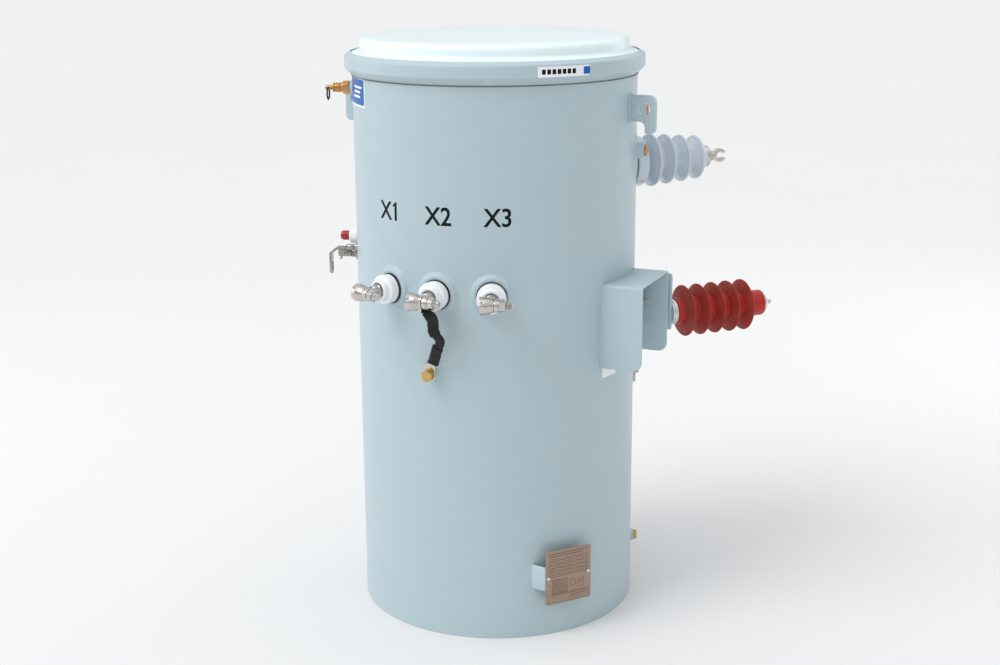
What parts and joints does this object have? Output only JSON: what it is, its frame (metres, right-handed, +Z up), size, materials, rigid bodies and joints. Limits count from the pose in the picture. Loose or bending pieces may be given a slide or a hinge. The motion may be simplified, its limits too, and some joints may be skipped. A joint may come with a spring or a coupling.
{
  "type": "pole mounted transformer",
  "caption": "Round pole-mounted distribution transformer: banded cover, low-voltage bushings, one high-voltage bushing, surge arrester, switch handle and pole hangers.",
  "frame": {"origin": "centre of the tank's lower edge", "axes": "+Z up; the middle low-voltage bushing faces -Y and the pole hangers face +Y"},
  "size_m": [0.7134, 0.7458, 1.03],
  "materials": {
    "tank_paint": "satin",
    "cover_paint": "satin",
    "gasket_rubber": "matte",
    "white_porcelain": "gloss",
    "grey_porcelain": "gloss",
    "tinned_metal": "satin",
    "zinc_steel": "satin",
    "yellow_zinc": "satin",
    "strap_sleeve": "satin",
    "brass_fitting": "satin",
    "dark_wire": "satin",
    "red_silicone": "matte",
    "cast_aluminium": "satin",
    "white_plastic": "gloss",
    "red_lens": "gloss",
    "switch_metal": "satin",
    "etched_plate": "satin",
    "core_steel": "matte"
  },
  "bodies": {
    "tank": {"tank_shell": "tank_paint", "tank_bottom": "tank_paint", "core_and_coils": "core_steel", "tank_cover": "cover_paint", "cover_gasket": "gasket_rubber", "cover_band": "tank_paint", "cover_band_bolt": "zinc_steel", "lv_bushing_1": "white_porcelain", "lv_bushing_2": "white_porcelain", "lv_bushing_3": "white_porcelain", "lv_gaskets": "gasket_rubber", "lv_terminals": "tinned_metal", "lv_clamp_bolts": "tinned_metal", "lv_clamp_nuts": "tinned_metal", "ground_boss": "tank_paint", "ground_strap": "strap_sleeve", "strap_lugs": "tinned_metal", "ground_bolt": "yellow_zinc", "hv_bushing": "grey_porcelain", "hv_gasket": "gasket_rubber", "hv_cap": "tinned_metal", "hv_terminal": "tinned_metal", "arrester_body": "red_silicone", "arrester_foot": "cast_aluminium", "arrester_cap": "cast_aluminium", "arrester_bracket": "tank_paint", "switch_hood": "tank_paint", "hood_studs": "zinc_steel", "lifting_lug_right": "tank_paint", "lifting_lug_left": "tank_paint", "side_plugs": "brass_fitting", "side_tab": "zinc_steel", "lower_ground_nut": "yellow_zinc", "relief_boss": "tank_paint", "relief_valve": "brass_fitting", "light_housing": "white_plastic", "light_lens": "red_lens", "switch_boss": "switch_metal", "plate_bracket": "tank_paint", "nameplate": "etched_plate", "hanger_upper": "tank_paint", "hanger_lower": "tank_paint"},
    "handle": {"switch_handle": "switch_metal"},
    "lever": {"reset_lever": "switch_metal"},
    "pull_ring": {"relief_ring": "dark_wire"}
  },
  "joints": [
    {"name": "switch_handle_turn", "type": "hinge", "parent": "tank", "child": "handle", "pos_m": [-0.26915, -0.07718, 0.636], "axis": [-0.9613, -0.2756, 0], "range_deg": [-90, 0]},
    {"name": "reset_lever_turn", "type": "hinge", "parent": "tank", "child": "lever", "pos_m": [-0.24579, -0.09336, 0.651], "axis": [-0.9613, -0.2756, 0], "range_deg": [0, 60]},
    {"name": "relief_ring_swing", "type": "hinge", "parent": "tank", "child": "pull_ring", "pos_m": [-0.28341, -0.09209, 0.937], "axis": [0.309, -0.9511, 0], "range_deg": [-80, 10]}
  ]
}
